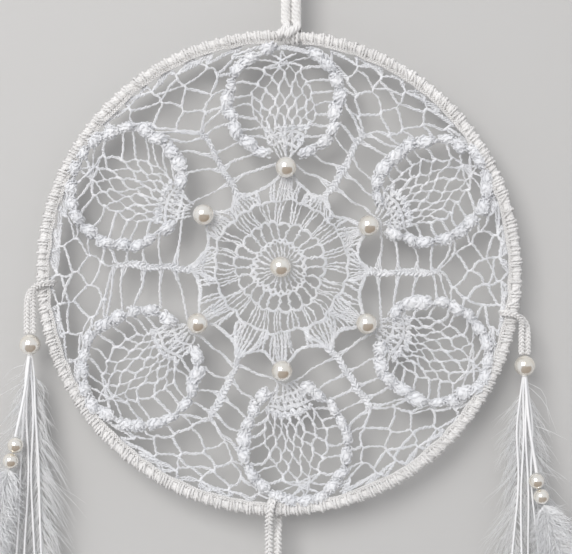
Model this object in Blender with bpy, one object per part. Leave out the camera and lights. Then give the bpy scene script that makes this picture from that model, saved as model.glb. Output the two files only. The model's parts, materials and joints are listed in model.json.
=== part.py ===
"""A crocheted dream catcher on its hanging loop.

The hoop lies in the XZ plane with its front towards -Y, and +Z points up.
The origin is where the nail or hook bears on the inside of the hanging loop.
Every size is in metres.
"""

import math

import bmesh
import bpy
from mathutils import Vector

MM = 0.001
GAP = 0.3 * MM

# Hoop: a wire ring wound with cotton thread.
HOOP_RADIUS = 100.0 * MM
RIM_RADIUS = 2.05 * MM
WIRE_RADIUS = 1.25 * MM
RIM_LINE_RADIUS = HOOP_RADIUS - RIM_RADIUS
HOOP_OFFSET = -5.0 * MM
WRAP_OPEN_ANGLE = 1.6
RIM_STEPS = 60
RIM_SIDES = 6

# Hanging loop: one crocheted cord, doubled, with an eye for the nail.
CORD_RADIUS = 2.0 * MM
CORD_SPACING = 4.3 * MM
LOOP_DROP = 62.0 * MM
EYE_HALF_WIDTH = 11.0 * MM
HITCH_BORE = RIM_RADIUS + 0.35 * MM
HITCH_WALL = 1.5 * MM
HITCH_LENGTH = 8.6 * MM

HOOP_CENTRE = Vector((HOOP_OFFSET, 0.0, -LOOP_DROP - HOOP_RADIUS))

# Doily: a crocheted net of one thickness, with six leaf-shaped motifs.
MOTIF_TURNS = (28.0, 88.0, 150.0, 214.0, 275.5, 333.0)
SPOKE_TURNS = (58.5, 119.0, 177.0, 245.0, 304.0, 0.5)
CHAIN_HALF_WIDTH = 0.8 * MM
SPOKE_HALF_WIDTH = 1.2 * MM
POPCORN_HALF_WIDTH = 1.9 * MM
EDGE_HALF_DEPTH = 0.35 * MM
CHAIN_HALF_DEPTH = 0.7 * MM
POPCORN_HALF_DEPTH = 1.8 * MM
HUB_PLACE = Vector((0.6 * MM, 2.5 * MM))
HUB_RADIUS = 3.9 * MM
INNER_RING_RADIUS = 18.2 * MM
OUTER_RING_RADIUS = 37.2 * MM
RIM_REACH = 93.8 * MM
CLUSTER_TURN = 2.4
LACING_TURN = 11.0

# Pearls: round beads with a thread hole.
PEARL_RADIUS = 4.35 * MM
BEAD_RADIUS = 3.2 * MM
BORE_RADIUS = 0.6 * MM
PEARL_FORWARD = -4.5 * MM
MOTIF_PEARL_TURNS = (27.8, 86.2, 142.3, 211.7, 271.8, 330.1)
MOTIF_PEARL_REACHES = (41.6 * MM, 43.5 * MM, 39.2 * MM, 39.3 * MM, 40.1 * MM, 41.5 * MM)

# Pendants: a strap over the hoop, a pearl, strands, feathers and a beaded string.
STRAND_RADIUS = 0.6 * MM
STRAND_STARTS = (-2.4 * MM, -0.8 * MM, 0.8 * MM, 2.4 * MM)
STRAND_ENDS = (-7.0 * MM, -2.2 * MM, 2.8 * MM, 8.0 * MM)
STRAND_LENGTHS = (112.0 * MM, 126.0 * MM, 121.0 * MM, 108.0 * MM)
STRING_FORWARD = -1.7 * MM
BEAD_FORWARD = -4.4 * MM
PLUME_LENGTH = 74.0 * MM
PLUME_HALF_WIDTH = 13.0 * MM
PLUME_HALF_DEPTH = 0.9 * MM
PLUME_LEAN = 17.0
FEATHER_HALF_DEPTH = 0.45 * MM
INNER_FEATHER_BACK = 2.0 * MM
OUTER_FEATHER_BACK = 3.6 * MM

COTTON = ("cotton", (0.80, 0.81, 0.84), 0.85, 0.0)
WIRE = ("ring_metal", (0.55, 0.56, 0.58), 0.35, 1.0)
PEARL = ("pearl", (0.86, 0.82, 0.72), 0.18, 0.0)
SATIN = ("satin_thread", (0.88, 0.89, 0.90), 0.45, 0.0)
FEATHER = ("feather", (0.90, 0.90, 0.91), 0.75, 0.0)


def clear_scene():
    """Empty the scene of whatever the file opened with."""
    for thing in list(bpy.data.objects):
        bpy.data.objects.remove(thing, do_unlink=True)


def material(spec):
    """The Principled material of a spec, made once."""
    name, colour, roughness, metallic = spec
    found = bpy.data.materials.get(name)
    if found is not None:
        return found
    made = bpy.data.materials.new(name)
    made.use_nodes = True
    shader = made.node_tree.nodes["Principled BSDF"]
    shader.inputs["Base Color"].default_value = (*colour, 1.0)
    shader.inputs["Roughness"].default_value = roughness
    shader.inputs["Metallic"].default_value = metallic
    made.diffuse_color = (*colour, 1.0)
    return made


def body(name, pivot, parent=None):
    """An empty on a body's joint, which carries the body's pieces."""
    empty = bpy.data.objects.new(name, None)
    empty.location = pivot if parent is None else pivot - parent["pivot"]
    empty.parent = None if parent is None else parent["empty"]
    bpy.context.collection.objects.link(empty)
    return {"empty": empty, "pivot": Vector(pivot)}


def add_piece(name, data, spec, carrier):
    """An object whose data is in its carrier's own coordinates."""
    piece = bpy.data.objects.new(name, data)
    data.materials.append(material(spec))
    piece.parent = carrier["empty"]
    bpy.context.collection.objects.link(piece)
    return piece


def add_mesh(name, points, faces, spec, carrier, smooth=True):
    """A mesh piece from world points, with its faces turned outwards."""
    mesh = bpy.data.meshes.new(name)
    mesh.from_pydata([Vector(p) - carrier["pivot"] for p in points], [], faces)
    shape = bmesh.new()
    shape.from_mesh(mesh)
    bmesh.ops.recalc_face_normals(shape, faces=shape.faces)
    shape.to_mesh(mesh)
    shape.free()
    if smooth:
        mesh.shade_smooth()
        mesh.set_sharp_from_angle(angle=math.radians(50.0))
    return add_piece(name, mesh, spec, carrier)


def smooth_route(points, steps):
    """A smooth curve through hand-placed points, read at even parameters."""
    ends = [2 * points[0] - points[1]] + list(points) + [2 * points[-1] - points[-2]]
    route = []
    for before, start, end, after in zip(ends, ends[1:], ends[2:], ends[3:], strict=False):
        for step in range(steps):
            t = step / steps
            route.append(
                0.5
                * (
                    2 * start
                    + (end - before) * t
                    + (2 * before - 5 * start + 4 * end - after) * t**2
                    + (3 * start - before - 3 * end + after) * t**3
                )
            )
    route.append(points[-1])
    return route


def add_cord(name, route, radius, spec, carrier):
    """A closed round tube along a route of world points."""
    curve = bpy.data.curves.new(name, "CURVE")
    curve.dimensions = "3D"
    curve.bevel_depth = radius
    curve.bevel_resolution = 2
    curve.use_fill_caps = True
    spline = curve.splines.new("POLY")
    spline.points.add(len(route) - 1)
    for knot, point in zip(spline.points, route, strict=True):
        knot.co = (*(point - carrier["pivot"]), 1.0)
    return add_piece(name, curve, spec, carrier)


def rings_to_faces(count, sides, closed):
    """Quads between neighbouring rings of points, in a row or all the way round."""
    faces = []
    for ring in range(count if closed else count - 1):
        here = ring * sides
        there = (ring + 1) % count * sides
        for side in range(sides):
            turn = (side + 1) % sides
            faces.append((here + side, here + turn, there + turn, there + side))
    return faces


def hoop_point(turn, reach, forward=0.0):
    """A point of the hoop's plane in polar form, in degrees anticlockwise from +X."""
    angle = math.radians(turn)
    return HOOP_CENTRE + Vector((reach * math.cos(angle), forward, reach * math.sin(angle)))


def rim_section(turn, radius, sides):
    """One ring of points round the rim's line."""
    ring = []
    for side in range(sides):
        angle = math.tau * side / sides
        reach = RIM_LINE_RADIUS + radius * math.cos(angle)
        ring.append(hoop_point(turn, reach, radius * math.sin(angle)))
    return ring


def make_ring(carrier):
    """The closed wire ring inside the wrap."""
    points = []
    for step in range(RIM_STEPS):
        points += rim_section(360.0 * step / RIM_STEPS, WIRE_RADIUS, RIM_SIDES)
    faces = rings_to_faces(RIM_STEPS, RIM_SIDES, True)
    add_mesh("hoop_ring", points, faces, WIRE, carrier)


def make_wrap(carrier, hitch_turn):
    """The thread sleeve round the ring, open for a moment under the hitch."""
    start = hitch_turn + WRAP_OPEN_ANGLE / 2
    sweep = 360.0 - WRAP_OPEN_ANGLE
    inner_radius = WIRE_RADIUS / math.cos(math.pi / RIM_SIDES) + GAP
    outer = []
    inner = []
    for step in range(RIM_STEPS + 1):
        turn = start + sweep * step / RIM_STEPS
        outer += rim_section(turn, RIM_RADIUS, RIM_SIDES)
        inner += rim_section(turn, inner_radius, RIM_SIDES)
    count = len(outer)
    outer_faces = rings_to_faces(RIM_STEPS + 1, RIM_SIDES, False)
    faces = outer_faces + [tuple(count + index for index in face) for face in outer_faces]
    for first in (0, count - RIM_SIDES):
        for side in range(RIM_SIDES):
            here = first + side
            there = first + (side + 1) % RIM_SIDES
            faces.append((here, there, count + there, count + here))
    add_mesh("hoop_wrap", outer + inner, faces, COTTON, carrier)


def net_corner(before, here, after, half_before, half_after):
    """Where the edges of a net hole meet, each offset to its left by its strand's half width."""
    into = (here - before).normalized()
    out = (after - here).normalized()
    left_in = Vector((-into.y, into.x))
    left_out = Vector((-out.y, out.x))
    cross = into.x * out.y - into.y * out.x
    if abs(cross) < 0.05:
        return here + (left_in * half_before + left_out * half_after) / 2
    start = here + left_in * half_before
    end = here + left_out * half_after
    along = ((end.x - start.x) * out.y - (end.y - start.y) * out.x) / cross
    return start + into * along


class Net:
    """A flat net of strands, given by its knots and the loops round its holes."""

    def __init__(self):
        self.names = []
        self.knots = []
        self.loops = []

    def knot(self, name, place):
        self.names.append(name)
        self.knots.append(Vector(place))

    def hole(self, *names):
        loop = [self.names.index(name) for name in names]
        area = sum(
            self.knots[a].x * self.knots[b].y - self.knots[b].x * self.knots[a].y
            for a, b in zip(loop, loop[1:] + loop[:1], strict=True)
        )
        self.loops.append(loop if area > 0 else loop[::-1])

    def outline(self):
        """The loops outside all holes, from the edges that only one hole uses."""
        used = {(a, b) for loop in self.loops for a, b in zip(loop, loop[1:] + loop[:1], strict=True)}
        free = sorted((b, a) for a, b in used if (b, a) not in used)
        while free:
            start, here = free.pop(0)
            loop = [start]
            while here != start or any(edge[0] == start for edge in free):
                arrived = self.knots[loop[-1]] - self.knots[here]
                loop.append(here)
                leaving = [edge for edge in free if edge[0] == here]
                if not leaving:
                    break
                edge = min(leaving, key=lambda way: self.turn(arrived, self.knots[way[1]] - self.knots[here]))
                free.remove(edge)
                here = edge[1]
            self.loops.append(loop)

    @staticmethod
    def turn(first, second):
        """The clockwise angle from one direction to another."""
        angle = math.atan2(first.y, first.x) - math.atan2(second.y, second.x)
        return angle % math.tau or math.tau

    def half_width(self, first, second):
        kinds = {self.names[first][0], self.names[second][0]}
        if kinds == {"Q"}:
            return POPCORN_HALF_WIDTH
        if kinds == {"S"}:
            return SPOKE_HALF_WIDTH
        return CHAIN_HALF_WIDTH

    def build(self):
        """Points and faces of the closed net, thick along its strands and thin at their sides."""
        depths = [POPCORN_HALF_DEPTH if name[0] == "Q" else CHAIN_HALF_DEPTH for name in self.names]
        points = []
        for side in (-1.0, 1.0):
            points += [
                HOOP_CENTRE + Vector((knot.x, side * depth, knot.y))
                for knot, depth in zip(self.knots, depths, strict=True)
            ]
        back = len(self.knots)
        faces = []
        for loop in self.loops:
            first = len(points)
            size = len(loop)
            for index, here in enumerate(loop):
                before = loop[index - 1]
                after = loop[(index + 1) % size]
                corner = net_corner(
                    self.knots[before],
                    self.knots[here],
                    self.knots[after],
                    self.half_width(before, here),
                    self.half_width(here, after),
                )
                for side in (-1.0, 1.0):
                    points.append(HOOP_CENTRE + Vector((corner.x, side * EDGE_HALF_DEPTH, corner.y)))
            for index, here in enumerate(loop):
                there = loop[(index + 1) % size]
                near = first + 2 * index
                far = first + 2 * ((index + 1) % size)
                faces.append((here, there, far, near))
                faces.append((back + here, near + 1, far + 1, back + there))
                faces.append((near, far, far + 1, near + 1))
        return points, faces


def motif_knots(net, number):
    """The knots of one leaf: its pearl seat, popcorn border, inner fan and lacing."""
    turn = math.radians(MOTIF_TURNS[number])
    forward = Vector((math.cos(turn), math.sin(turn)))
    sideways = Vector((-forward.y, forward.x))
    swing = math.radians(MOTIF_PEARL_TURNS[number] - MOTIF_TURNS[number])
    seat = MOTIF_PEARL_REACHES[number] * math.cos(swing)
    seat_aside = MOTIF_PEARL_REACHES[number] * math.sin(swing)
    middle = {
        "P0": seat - 3.9 * MM,
        "P3": seat + 3.9 * MM,
        "A0": 54.0 * MM,
        "B0": 66.0 * MM,
        "C0": 78.0 * MM,
        "Q6": 89.3 * MM,
    }
    paired = {
        "P1": (seat - 1.9 * MM, 3.4 * MM),
        "P2": (seat + 1.9 * MM, 3.4 * MM),
        "A1": (53.0 * MM, 6.5 * MM),
        "B1": (64.0 * MM, 9.5 * MM),
        "C1": (76.0 * MM, 9.0 * MM),
        "Q1": (46.0 * MM, 8.5 * MM),
        "Q2": (55.0 * MM, 16.0 * MM),
        "Q3": (66.0 * MM, 20.5 * MM),
        "Q4": (77.0 * MM, 19.5 * MM),
        "Q5": (85.5 * MM, 11.5 * MM),
    }
    for name, reach in middle.items():
        shift = seat_aside if name[0] == "P" else 0.0
        net.knot(f"{name}.{number}", forward * reach + sideways * shift)
    for name, (reach, aside) in paired.items():
        shift = seat_aside if name[0] == "P" else 0.0
        net.knot(f"{name}l.{number}", forward * reach + sideways * (shift + aside))
        net.knot(f"{name}r.{number}", forward * reach + sideways * (shift - aside))
    for hand, way in (("l", 1.0), ("r", -1.0)):
        lacing = turn + way * math.radians(LACING_TURN)
        net.knot(f"R{hand}.{number}", Vector((math.cos(lacing), math.sin(lacing))) * RIM_REACH)


def spoke_knots(net, number):
    """The knots of one spoke, which ends in a cluster of two on the rim."""
    turn = math.radians(SPOKE_TURNS[number])
    outward = Vector((math.cos(turn), math.sin(turn)))
    reaches = (OUTER_RING_RADIUS, 48.0 * MM, 60.0 * MM, 72.0 * MM, 84.0 * MM)
    for index, reach in enumerate(reaches):
        net.knot(f"S{index}.{number}", outward * reach)
    for name, way in (("Ta", -1.0), ("Tb", 1.0)):
        angle = turn + way * math.radians(CLUSTER_TURN)
        net.knot(f"{name}.{number}", Vector((math.cos(angle), math.sin(angle))) * RIM_REACH)


def motif_holes(net, number):
    """The holes of one leaf, and those between it and the spokes on both sides."""
    net.hole(*(f"{name}.{number}" for name in ("P0", "P1r", "P2r", "P3", "P2l", "P1l")))
    sides = {"l": number, "r": number - 1 if number else len(MOTIF_TURNS) - 1}
    for hand, spoke in sides.items():
        own = f"{hand}.{number}"
        middle = f".{number}"
        beside = f".{spoke}"
        net.hole("P2" + own, "Q1" + own, "Q2" + own, "A1" + own)
        net.hole("P3" + middle, "P2" + own, "A1" + own, "A0" + middle)
        net.hole("A1" + own, "Q2" + own, "Q3" + own, "B1" + own)
        net.hole("A0" + middle, "A1" + own, "B1" + own, "B0" + middle)
        net.hole("B1" + own, "Q3" + own, "Q4" + own, "C1" + own)
        net.hole("B0" + middle, "B1" + own, "C1" + own, "C0" + middle)
        net.hole("C0" + middle, "C1" + own, "Q4" + own, "Q5" + own, "Q6" + middle)
        net.hole("Q4" + own, "Q5" + own, "R" + own)
        net.hole("P0" + middle, "S0" + beside, "S1" + beside, "Q1" + own, "P2" + own, "P1" + own)
        for index in (1, 2, 3):
            inner = str(index)
            outer = str(index + 1)
            net.hole(
                f"S{inner}{beside}", f"S{outer}{beside}", f"Q{outer}{own}", f"Q{inner}{own}"
            )


def make_doily(carrier):
    """The crocheted net: a medallion, six leaves and six spokes."""
    net = Net()
    count = len(MOTIF_TURNS)
    for number in range(count):
        motif_knots(net, number)
        spoke_knots(net, number)
    turns = []
    for number in range(count):
        turns += [(MOTIF_TURNS[number], f"P0.{number}"), (SPOKE_TURNS[number], f"S0.{number}")]
    for index, (turn, _) in enumerate(turns):
        outward = Vector((math.cos(math.radians(turn)), math.sin(math.radians(turn))))
        net.knot(f"H{index}", HUB_PLACE + outward * HUB_RADIUS)
        net.knot(f"I{index}", HUB_PLACE + outward * INNER_RING_RADIUS)
    net.hole(*(f"H{index}" for index in range(len(turns))))
    for index in range(len(turns)):
        after = (index + 1) % len(turns)
        net.hole(f"H{index}", f"H{after}", f"I{after}", f"I{index}")
        net.hole(f"I{index}", f"I{after}", turns[after][1], turns[index][1])
    for number in range(count):
        motif_holes(net, number)
        net.hole(f"S4.{number}", f"Ta.{number}", f"Tb.{number}")
    net.outline()
    points, faces = net.build()
    add_mesh("doily", points, faces, COTTON, carrier, smooth=False)


def make_pearl(name, centre, radius, axis, carrier):
    """A round bead with a thread hole along axis."""
    sides = 10
    rows = 6
    turn = Vector((0.0, 0.0, 1.0)).rotation_difference(axis)
    start = math.asin(BORE_RADIUS / radius)
    points = []
    for row in range(rows):
        angle = start + (math.pi - 2 * start) * row / (rows - 1)
        for side in range(sides):
            around = math.tau * side / sides
            local = Vector(
                (math.sin(angle) * math.cos(around), math.sin(angle) * math.sin(around), math.cos(angle))
            )
            points.append(centre + turn @ (local * radius))
    faces = rings_to_faces(rows, sides, True)
    return add_mesh(name, points, faces, PEARL, carrier)


def make_hanger(carrier, end_height):
    """The doubled cord from the hitch up round the eye and back down."""
    half = CORD_SPACING / 2
    top = CORD_RADIUS
    right = [
        Vector((half, 0.0, end_height)),
        Vector((half, 0.0, end_height + 10.0 * MM)),
        Vector((half, 0.0, -38.0 * MM)),
        Vector((half + 1.0 * MM, 0.0, -31.0 * MM)),
        Vector((EYE_HALF_WIDTH * 0.72, 0.0, -22.0 * MM)),
        Vector((EYE_HALF_WIDTH, 0.0, -11.0 * MM)),
        Vector((EYE_HALF_WIDTH * 0.72, 0.0, -1.6 * MM)),
    ]
    left = [Vector((-point.x, point.y, point.z)) for point in reversed(right)]
    route = smooth_route(right + [Vector((0.0, 0.0, top))] + left, 2)
    add_cord("hanger_loop", route, CORD_RADIUS, COTTON, carrier)


def make_hitch(carrier, centre, axis):
    """The turns of the hanging cord that hold the rim: a short sleeve."""
    sides = 12
    turn = Vector((0.0, 0.0, 1.0)).rotation_difference(axis)
    bore = HITCH_BORE / math.cos(math.pi / sides)
    profile = (
        (bore, -HITCH_LENGTH / 2),
        (bore + HITCH_WALL, -HITCH_LENGTH / 2),
        (bore + HITCH_WALL, HITCH_LENGTH / 2),
        (bore, HITCH_LENGTH / 2),
    )
    points = []
    for radius, along in profile:
        for side in range(sides):
            around = math.tau * side / sides
            local = Vector((radius * math.cos(around), radius * math.sin(around), along))
            points.append(centre + turn @ local)
    faces = rings_to_faces(len(profile), sides, True)
    add_mesh("hanger_hitch", points, faces, COTTON, carrier)


def make_vane(name, spec, carrier, start, end, half_width, half_depth, fullness):
    """A flat feather with a ridge along its quill, widest at fullness of its length."""
    rows = 9
    along = end - start
    aside = Vector((along.z, 0.0, -along.x)).normalized()
    depth = Vector((0.0, 1.0, 0.0))
    points = []
    for row in range(rows):
        share = row / (rows - 1)
        power = math.log(0.5) / math.log(fullness)
        swell = math.sin(math.pi * share**power) ** 0.8 if 0.0 < share < 1.0 else 0.0
        width = 0.8 * MM + half_width * swell
        thick = half_depth * (1.0 - 0.55 * share)
        middle = start + along * share
        points += [middle + aside * width, middle + depth * thick]
        points += [middle - aside * width, middle - depth * thick]
    faces = rings_to_faces(rows, 4, False)
    faces += [(0, 1, 2, 3), tuple(4 * (rows - 1) + index for index in range(4))]
    add_mesh(name, points, faces, spec, carrier, smooth=False)


def side_strap_route(catch, outward, drop):
    """A cord that comes up beside the hoop, goes over its front, back behind it and down again."""
    places = (
        (3.8, -0.3, -drop / MM),
        (3.8, -0.4, -8.0),
        (3.7, -1.4, -4.2),
        (2.9, -3.5, -1.4),
        (0.0, -4.6, 0.4),
        (-3.3, -3.3, 0.9),
        (-4.7, 0.0, 0.8),
        (-3.3, 3.3, 0.4),
        (0.0, 4.6, 0.0),
        (3.6, 4.2, -0.9),
        (5.9, 2.2, -3.6),
        (6.4, 0.5, -8.0),
        (6.4, 0.0, -drop / MM),
    )
    return [catch + Vector((outward * u * MM, y * MM, z * MM)) for u, y, z in places]


def lower_strap_route(catch, spacing, drop):
    """A cord that comes up in front of the hoop, over it and down behind."""
    half = spacing / 2 / MM
    places = (
        (-half, 0.0, -drop / MM),
        (-half, -0.6, -10.0),
        (-half, -3.0, -5.0),
        (-1.5, -4.4, 0.0),
        (-0.8, -3.3, 3.2),
        (0.0, 0.0, 4.5),
        (0.8, 3.3, 3.2),
        (1.5, 4.4, 0.0),
        (half, 3.0, -5.0),
        (half, 0.6, -10.0),
        (half, 0.0, -drop / MM),
    )
    return [catch + Vector((x * MM, y * MM, z * MM)) for x, y, z in places]


def make_drop(side, carrier, pearl_centre, outward, lean, drop):
    """The string that hangs in front, its two small beads and the plume below them."""
    way = Vector((outward * math.sin(math.radians(PLUME_LEAN)), 0.0, -math.cos(math.radians(PLUME_LEAN))))
    upper = pearl_centre + Vector((outward * lean, BEAD_FORWARD, -drop))
    lower = upper + way * (2 * BEAD_RADIUS + GAP)
    top = pearl_centre + Vector((0.0, STRING_FORWARD, -PEARL_RADIUS - 0.5 * MM))
    end = upper + Vector((0.0, 0.0, BEAD_RADIUS + GAP))
    middle = top.lerp(end, 0.45) + Vector((-outward * 0.8 * MM, -0.6 * MM, 0.0))
    route = smooth_route([top, middle, end], 3)
    add_cord(f"{side}_string", route, STRAND_RADIUS, SATIN, carrier)
    make_pearl(f"{side}_bead_upper", upper, BEAD_RADIUS, Vector((0.0, 0.0, 1.0)), carrier)
    make_pearl(f"{side}_bead_lower", lower, BEAD_RADIUS, Vector((0.0, 0.0, 1.0)), carrier)
    start = lower + way * (BEAD_RADIUS + GAP)
    end = start + way * PLUME_LENGTH
    make_vane(
        f"{side}_plume", FEATHER, carrier, start, end, PLUME_HALF_WIDTH, PLUME_HALF_DEPTH, 0.62
    )


def make_tassel(side, carrier, pearl_centre, outward):
    """The strands and the two long-barbed feathers behind them."""
    strands = zip(STRAND_STARTS, STRAND_ENDS, STRAND_LENGTHS, strict=True)
    for number, (start, finish, length) in enumerate(strands, 1):
        top = pearl_centre + Vector((outward * start, 0.0, -PEARL_RADIUS - 0.45 * MM))
        end = top + Vector((outward * (finish - start), 0.0, -length))
        bow = top.lerp(end, 0.4) + Vector((outward * 0.25 * (start - finish), 0.0, 0.0))
        route = smooth_route([top, bow, end], 2)
        add_cord(f"{side}_strand_{number}", route, STRAND_RADIUS, SATIN, carrier)
    feathers = (
        ("inner", INNER_FEATHER_BACK, (-1.0, -10.0), (-9.0, -124.0), 11.0 * MM, 0.66),
        ("outer", OUTER_FEATHER_BACK, (1.0, -9.0), (8.0, -104.0), 9.0 * MM, 0.55),
    )
    for name, back, (top_x, top_z), (tip_x, tip_z), half_width, fullness in feathers:
        start = pearl_centre + Vector((outward * top_x * MM, back, top_z * MM))
        end = pearl_centre + Vector((outward * tip_x * MM, back, tip_z * MM))
        make_vane(
            f"{side}_feather_{name}",
            FEATHER,
            carrier,
            start,
            end,
            half_width,
            FEATHER_HALF_DEPTH,
            fullness,
        )


def make_side_pendant(side, hoop, outward, turn, strap_drop, lean, bead_drop):
    """A pendant that hangs beside the hoop from a strap over its rim."""
    catch = hoop_point(turn, RIM_LINE_RADIUS)
    leg_line = 5.1 * MM
    pivot = catch + Vector((outward * leg_line, 0.0, 0.0))
    strap = body(f"{side}_strap_body", pivot, hoop)
    route = smooth_route(side_strap_route(catch, outward, strap_drop), 2)
    add_cord(f"{side}_strap", route, 1.2 * MM, COTTON, strap)
    hang_from(side, strap, pivot, outward, strap_drop, lean, bead_drop)


def make_lower_pendant(hoop, turn, strap_drop, lean, bead_drop):
    """The pendant that hangs below the hoop from a thicker strap."""
    strap_radius = 1.7 * MM
    catch = hoop_point(turn, RIM_LINE_RADIUS)
    strap = body("lower_strap_body", catch, hoop)
    route = smooth_route(lower_strap_route(catch, 2 * strap_radius + GAP, strap_drop), 2)
    add_cord("lower_strap", route, strap_radius, COTTON, strap)
    hang_from("lower", strap, catch, 1.0, strap_drop, lean, bead_drop)


def hang_from(side, strap, pivot, outward, strap_drop, lean, bead_drop):
    """The pearl at a strap's end, and the tassel and beaded string that swing below it."""
    centre = pivot + Vector((0.0, 0.0, -strap_drop - PEARL_RADIUS - GAP))
    make_pearl(f"{side}_pearl", centre, PEARL_RADIUS, Vector((0.0, 0.0, 1.0)), strap)
    tassel = body(f"{side}_tassel_body", centre, strap)
    make_tassel(side, tassel, centre, outward)
    drop = body(f"{side}_drop_body", centre, tassel)
    make_drop(side, drop, centre, outward, lean, bead_drop)


def main():
    clear_scene()
    hanger = body("hanger_body", Vector((0.0, 0.0, 0.0)))
    hitch_turn = math.degrees(math.acos(-HOOP_OFFSET / RIM_LINE_RADIUS))
    hitch_centre = hoop_point(hitch_turn, RIM_LINE_RADIUS)
    tangent = Vector((math.sin(math.radians(hitch_turn)), 0.0, -math.cos(math.radians(hitch_turn))))
    hitch = body("hitch_body", hitch_centre, hanger)
    hoop = body("hoop_body", hitch_centre, hitch)
    hitch_top = hitch_centre.z + HITCH_BORE + HITCH_WALL + 0.3 * MM
    make_hanger(hanger, hitch_top + 2 * GAP)
    make_hitch(hitch, hitch_centre, tangent)
    make_ring(hoop)
    make_wrap(hoop, hitch_turn)
    make_doily(hoop)
    sideways = Vector((1.0, 0.0, 0.0))
    middle = hoop_point(0.0, 0.0, PEARL_FORWARD) + Vector((HUB_PLACE.x, 0.0, HUB_PLACE.y))
    make_pearl("pearl_centre", middle, PEARL_RADIUS, sideways, hoop)
    for number, turn in enumerate(MOTIF_PEARL_TURNS, 1):
        place = hoop_point(turn, MOTIF_PEARL_REACHES[number - 1], PEARL_FORWARD)
        across = Vector((-math.sin(math.radians(turn)), 0.0, math.cos(math.radians(turn))))
        make_pearl(f"pearl_motif_{number}", place, PEARL_RADIUS, across, hoop)
    make_side_pendant("left", hoop, -1.0, 182.9, 20.0 * MM, 5.1 * MM, 41.0 * MM)
    make_side_pendant("right", hoop, 1.0, -10.2, 16.3 * MM, 4.1 * MM, 47.0 * MM)
    make_lower_pendant(hoop, 268.65, 24.0 * MM, 3.0 * MM, 44.0 * MM)


main()
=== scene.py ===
"""The looks of the crocheted dream catcher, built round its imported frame.

Every length is in metres. The hoop lies in the XZ plane and faces -Y. A "turn" is an
angle in the hoop's plane, in degrees anticlockwise from +X as seen from the front, and a
"reach" is a distance from the hoop's centre.
"""

import json
import math

import bpy
import numpy as np
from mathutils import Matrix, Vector

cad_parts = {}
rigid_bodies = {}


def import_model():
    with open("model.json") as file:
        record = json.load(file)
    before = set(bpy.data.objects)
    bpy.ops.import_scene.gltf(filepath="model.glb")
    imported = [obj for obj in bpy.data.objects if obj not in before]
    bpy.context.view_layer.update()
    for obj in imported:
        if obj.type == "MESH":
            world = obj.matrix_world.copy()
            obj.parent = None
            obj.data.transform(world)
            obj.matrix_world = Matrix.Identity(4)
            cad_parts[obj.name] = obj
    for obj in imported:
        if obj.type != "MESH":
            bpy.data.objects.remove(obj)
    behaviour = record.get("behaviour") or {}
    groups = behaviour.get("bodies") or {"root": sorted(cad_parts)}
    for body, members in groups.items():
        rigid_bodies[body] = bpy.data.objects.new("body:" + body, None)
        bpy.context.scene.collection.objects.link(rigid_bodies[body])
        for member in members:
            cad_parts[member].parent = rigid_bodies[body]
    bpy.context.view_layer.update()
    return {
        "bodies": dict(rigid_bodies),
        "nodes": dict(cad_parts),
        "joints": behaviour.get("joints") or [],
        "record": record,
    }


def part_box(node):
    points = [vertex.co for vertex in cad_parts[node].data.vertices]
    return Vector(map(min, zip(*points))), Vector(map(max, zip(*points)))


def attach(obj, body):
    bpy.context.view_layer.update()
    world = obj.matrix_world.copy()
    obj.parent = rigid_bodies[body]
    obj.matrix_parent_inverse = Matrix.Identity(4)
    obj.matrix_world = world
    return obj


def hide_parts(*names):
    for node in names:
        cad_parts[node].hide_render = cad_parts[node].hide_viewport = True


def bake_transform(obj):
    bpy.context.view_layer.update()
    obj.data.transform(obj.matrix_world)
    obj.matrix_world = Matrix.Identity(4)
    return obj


MM = 0.001
SEED = 4
BACK = np.array((0.0, 1.0, 0.0))

# The hoop and the doily's layout, as the frame has them.
HOOP_CENTRE = np.array((-5.0, 0.0, -162.0)) * MM
RIM_LINE_RADIUS = 97.95 * MM
RIM_RADIUS = 2.05 * MM
SPOKE_TURNS = (58.5, 119.0, 177.0, 245.0, 304.0, 0.5)
MOTIF_PEARL_TURNS = (27.8, 86.2, 142.3, 211.7, 271.8, 330.1)
MOTIF_PEARL_REACHES = np.array((41.6, 43.5, 39.2, 39.3, 40.1, 41.5)) * MM
HUB_PLACE = np.array((0.6, 0.0, 2.5)) * MM

# Beads, and the number of points round and along each one's skin.
PEARL_RADIUS = 4.35 * MM
BEAD_RADIUS = 3.2 * MM
BORE_RADIUS = 0.6 * MM
PEARL_SIDES = 44
PEARL_ROWS = 26

# The hitch, and how far the rim's chain, stitches and popcorns keep clear of it.
HITCH_TURN = math.degrees(math.acos(-HOOP_CENTRE[0] / RIM_LINE_RADIUS))
HITCH_WIDTH = 4.6
HITCH_CLEAR_TURN = 3.2
HITCH_CLEAR_STITCH = 4.5
HITCH_CLEAR_REACH = 7.0 * MM

# The thread on the rim. Stitches and ties are spaced in degrees of the hoop's turn.
WRAP_PITCH = 1.25 * MM
WRAP_PLY = 0.34 * MM
COIL_POINTS = 22
STITCH_SPACING = 2.7
TIE_SPACING = 2.4
CHAIN_PARTS = 12

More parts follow.
